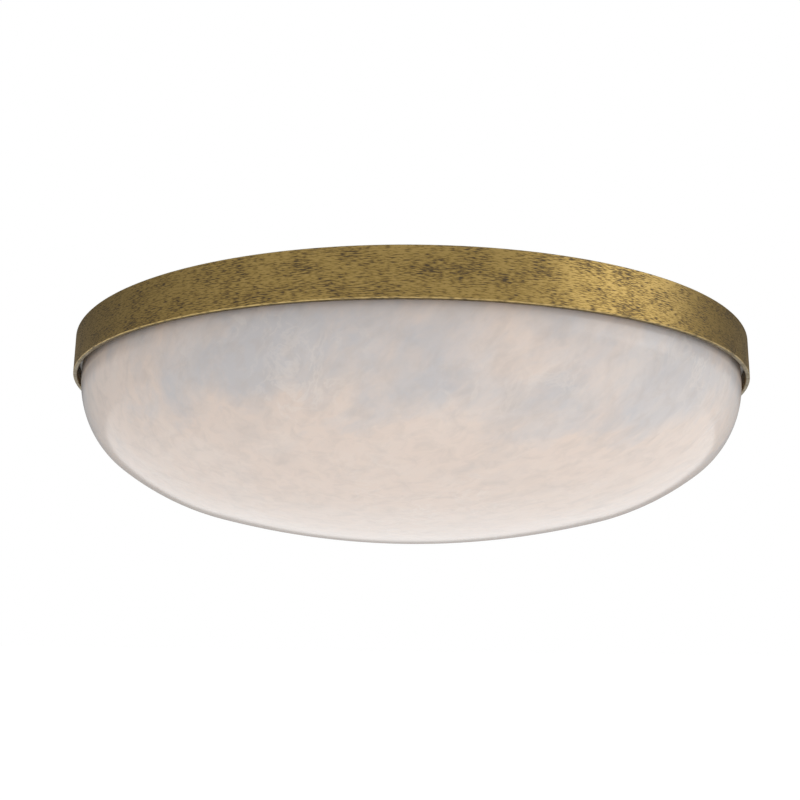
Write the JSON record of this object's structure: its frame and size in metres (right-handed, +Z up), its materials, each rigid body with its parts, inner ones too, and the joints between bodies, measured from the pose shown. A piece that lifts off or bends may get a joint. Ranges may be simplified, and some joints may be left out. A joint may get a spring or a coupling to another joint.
{
  "type": "flush mount ceiling light",
  "caption": "Flush mount ceiling light: a flecked antique brass band with a carved alabaster bowl that swings down on a hinge for changing the lamps.",
  "frame": {"origin": "middle of the outlet box, in the plane of the ceiling", "axes": "+Z up into the ceiling, -X towards the hinge, +X towards the catch"},
  "size_m": [0.4439, 0.432, 0.1172],
  "materials": {
    "antique_brass": "antique, burnished, flecked",
    "alabaster": "polished, cloudy",
    "zinc_steel": "zinc plated",
    "gasket_rubber": "matte",
    "green_screw": "gloss",
    "white_enamel": "satin",
    "heat_felt": "felted",
    "cap_brass": "satin",
    "black_plastic": "matte",
    "cream_plastic": "satin",
    "porcelain": "gloss",
    "shell_brass": "satin",
    "frosted_glass": "frosted",
    "lamp_cap": "satin",
    "brass_hardware": "antique, satin"
  },
  "bodies": {
    "ceiling_fitting": {"mounting_crossbar": "zinc_steel", "mounting_studs": "zinc_steel", "socket_screws": "zinc_steel", "bracket_rivets": "zinc_steel", "strap_rivets": "zinc_steel", "keeper_rivets": "zinc_steel", "terminal_screws": "zinc_steel", "block_screw": "zinc_steel", "socket_bracket_1": "zinc_steel", "socket_bracket_2": "zinc_steel", "socket_bracket_3": "zinc_steel", "ground_screw": "green_screw", "ceiling_pan": "white_enamel", "insulation_pad": "heat_felt", "cap_nuts": "cap_brass", "wire_bushing": "black_plastic", "terminal_block": "cream_plastic", "socket_1": "porcelain", "socket_2": "porcelain", "socket_3": "porcelain", "screw_shell_1": "shell_brass", "centre_contact_1": "shell_brass", "screw_shell_2": "shell_brass", "centre_contact_2": "shell_brass", "screw_shell_3": "shell_brass", "centre_contact_3": "shell_brass", "hinge_strap": "brass_hardware", "catch_keeper": "brass_hardware"},
    "shade": {"band": "antique_brass", "alabaster_bowl": "alabaster", "carrier_ring": "zinc_steel", "rim_gasket": "gasket_rubber", "bowl_studs": "zinc_steel", "stud_nuts": "zinc_steel", "hinge_leaf": "brass_hardware", "leaf_rivets": "zinc_steel", "hinge_pin": "brass_hardware", "catch_guides": "brass_hardware"},
    "catch": {"catch_bolt": "brass_hardware", "thumb_piece": "brass_hardware", "catch_screw": "brass_hardware"},
    "lamp_1": {"lamp_glass_1": "frosted_glass", "lamp_cap_1": "lamp_cap"},
    "lamp_2": {"lamp_glass_2": "frosted_glass", "lamp_cap_2": "lamp_cap"},
    "lamp_3": {"lamp_glass_3": "frosted_glass", "lamp_cap_3": "lamp_cap"}
  },
  "joints": [
    {"name": "shade_hinge", "type": "hinge", "parent": "ceiling_fitting", "child": "shade", "pos_m": [-0.2199, 0, -0.00435], "axis": [0, 1, 0], "range_deg": [0, 90]},
    {"name": "catch_slide", "type": "slide", "parent": "shade", "child": "catch", "axis": [0, -1, 0], "range_m": [0, 0.01]},
    {"name": "lamp_unscrew_1", "type": "slide", "parent": "ceiling_fitting", "child": "lamp_1", "axis": [0, 1, 0], "range_m": [0, 0.027]},
    {"name": "lamp_unscrew_2", "type": "slide", "parent": "ceiling_fitting", "child": "lamp_2", "axis": [-0.866, -0.5, 0], "range_m": [0, 0.027]},
    {"name": "lamp_unscrew_3", "type": "slide", "parent": "ceiling_fitting", "child": "lamp_3", "axis": [0.866, -0.5, 0], "range_m": [0, 0.027]}
  ]
}
